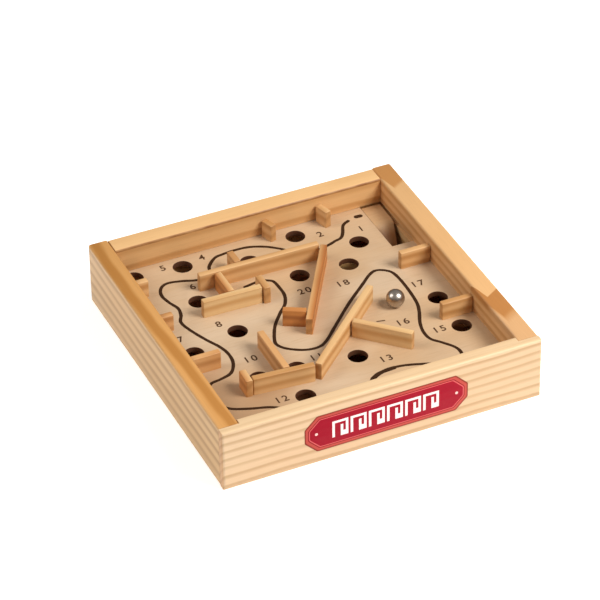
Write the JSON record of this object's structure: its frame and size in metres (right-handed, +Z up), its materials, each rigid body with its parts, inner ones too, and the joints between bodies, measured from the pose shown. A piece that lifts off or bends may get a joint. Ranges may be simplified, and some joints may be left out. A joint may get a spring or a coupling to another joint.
{
  "type": "tilt maze game",
  "caption": "Hand-held wooden tilt maze: open tray, play board with drop holes and glued dividers, return ramp, loose steel ball and a label on the front rail.",
  "frame": {"origin": "centre of the underside", "axes": "+X to the right along the front rail, +Y to the back rail, +Z up out of the play board"},
  "size_m": [0.12, 0.1202, 0.0243],
  "materials": {
    "rail_wood": "clear lacquered pine with straight grain",
    "board_wood": "smooth pale sheet, satin",
    "ramp_wood": "thin pale strip, satin",
    "divider_wood": "clear lacquered pine strip",
    "label_print": "printed label with a light inner line",
    "ball_steel": "polished bearing ball"
  },
  "bodies": {
    "tray": {"back_rail": "rail_wood", "bottom_panel": "board_wood", "divider_back_stub_left": "divider_wood", "divider_back_stub_right": "divider_wood", "divider_diagonal_stub": "divider_wood", "divider_front_branch": "divider_wood", "divider_front_diagonal": "divider_wood", "divider_front_left": "divider_wood", "divider_front_left_cap": "divider_wood", "divider_left_stub_back": "divider_wood", "divider_left_stub_front": "divider_wood", "divider_left_stub_middle": "divider_wood", "divider_link": "divider_wood", "divider_long": "divider_wood", "divider_long_diagonal": "divider_wood", "divider_long_stub": "divider_wood", "divider_middle_left": "divider_wood", "divider_middle_left_cap": "divider_wood", "divider_right_stub_back": "divider_wood", "divider_right_stub_front": "divider_wood", "divider_upright": "divider_wood", "front_label": "label_print", "front_rail": "rail_wood", "left_rail": "rail_wood", "play_board": "board_wood", "return_ramp": "ramp_wood", "right_rail": "rail_wood"},
    "ball": {"steel_ball": "ball_steel"}
  },
  "joints": [
    {"name": "ball_roll", "type": "slide", "parent": "tray", "child": "ball", "axis": [0, 1, 0], "range_m": [-0.041, 0.0504]}
  ]
}
